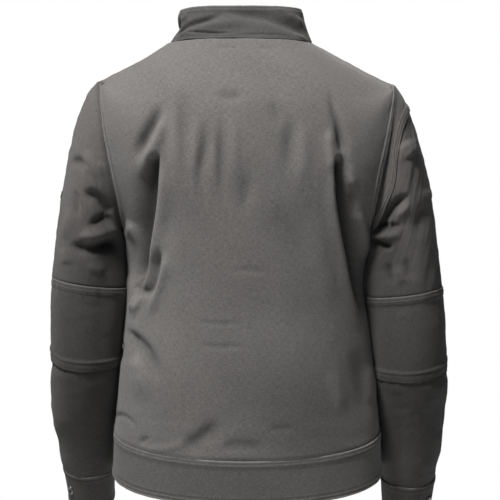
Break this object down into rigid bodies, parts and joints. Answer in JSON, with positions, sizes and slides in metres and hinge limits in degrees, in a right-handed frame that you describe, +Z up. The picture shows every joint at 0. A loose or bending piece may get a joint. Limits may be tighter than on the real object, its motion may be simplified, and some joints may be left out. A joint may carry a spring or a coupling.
{
  "type": "canvas work jacket",
  "caption": "Waist-length stand-collar work jacket in grey canvas, lined, with let-in elbow panels, hem band, front zip, chest flap pocket and snap cuffs.",
  "frame": {"origin": "middle of the neck opening, level with the collar seam at the centre back", "axes": "+Z up, the front faces -Y and the back +Y, +X is the wearer's left"},
  "size_m": [0.6019, 0.2651, 0.7813],
  "materials": {
    "canvas": "charcoal grey woven cotton canvas, matt, slubby",
    "lining": "dark twill lining",
    "tape": "black woven tape",
    "zip_metal": "aged brass",
    "snap_metal": "gunmetal snaps"
  },
  "bodies": {
    "jacket": {"back_panel": "canvas", "left_front_panel": "canvas", "right_front_panel": "canvas", "back_hem_band": "canvas", "left_hem_band": "canvas", "right_hem_band": "canvas", "collar_outer": "canvas", "collar_facing": "canvas", "hanger_loop": "tape", "back_lining": "lining", "left_front_lining": "lining", "right_front_lining": "lining", "left_zipper_tape": "tape", "right_zipper_tape": "tape", "left_zipper_teeth": "zip_metal", "right_zipper_teeth": "zip_metal", "zipper_stop": "zip_metal", "wind_flap": "canvas", "chest_pocket": "canvas", "chest_snap_stud": "snap_metal", "left_pocket_welt": "canvas", "right_pocket_welt": "canvas", "left_pocket_bag": "lining", "right_pocket_bag": "lining"},
    "zipper_slider": {"zipper_slider": "zip_metal"},
    "zipper_pull": {"zipper_pull": "zip_metal"},
    "chest_flap": {"chest_pocket_flap": "canvas", "chest_snap_cap": "snap_metal"},
    "left_upper_arm": {"left_top_sleeve": "canvas", "left_under_sleeve": "canvas", "left_upper_sleeve_lining": "lining", "left_sleeve_tab": "tape"},
    "left_forearm": {"left_elbow_panel": "canvas", "left_forearm_panel": "canvas", "left_cuff": "canvas", "left_lower_sleeve_lining": "lining", "left_cuff_snap": "snap_metal"},
    "right_upper_arm": {"right_top_sleeve": "canvas", "right_under_sleeve": "canvas", "right_upper_sleeve_lining": "lining"},
    "right_forearm": {"right_elbow_panel": "canvas", "right_forearm_panel": "canvas", "right_cuff": "canvas", "right_lower_sleeve_lining": "lining", "right_cuff_snap": "snap_metal"}
  },
  "joints": [
    {"name": "zipper_slide", "type": "slide", "parent": "jacket", "child": "zipper_slider", "axis": [0, -0.0626, -0.998], "range_m": [0, 0.46]},
    {"name": "pull_hinge", "type": "hinge", "parent": "zipper_slider", "child": "zipper_pull", "pos_m": [0, -0.11, -0.13753], "axis": [-1, 0, 0], "range_deg": [0, 150]},
    {"name": "chest_flap_hinge", "type": "hinge", "parent": "jacket", "child": "chest_flap", "pos_m": [0.1201, -0.1082, -0.1937], "axis": [-0.9671, -0.1716, 0.1875], "range_deg": [0, 100]},
    {"name": "left_sleeve_swing", "type": "hinge", "parent": "jacket", "child": "left_upper_arm", "pos_m": [0.23, -0.012, -0.265], "axis": [-1, 0, 0], "range_deg": [-20, 35], "deforming": ["left_top_sleeve", "left_under_sleeve", "left_upper_sleeve_lining"]},
    {"name": "left_elbow_bend", "type": "hinge", "parent": "left_upper_arm", "child": "left_forearm", "pos_m": [0.243, 0.0019, -0.4116], "axis": [-1, 0, 0], "range_deg": [0, 60], "deforming": ["left_elbow_panel", "left_lower_sleeve_lining"]},
    {"name": "right_sleeve_swing", "type": "hinge", "parent": "jacket", "child": "right_upper_arm", "pos_m": [-0.23, -0.012, -0.273], "axis": [-1, 0, 0], "range_deg": [-20, 35], "deforming": ["right_top_sleeve", "right_under_sleeve", "right_upper_sleeve_lining"]},
    {"name": "right_elbow_bend", "type": "hinge", "parent": "right_upper_arm", "child": "right_forearm", "pos_m": [-0.243, 0.0019, -0.4276], "axis": [-1, 0, 0], "range_deg": [0, 60], "deforming": ["right_elbow_panel", "right_lower_sleeve_lining"]}
  ]
}
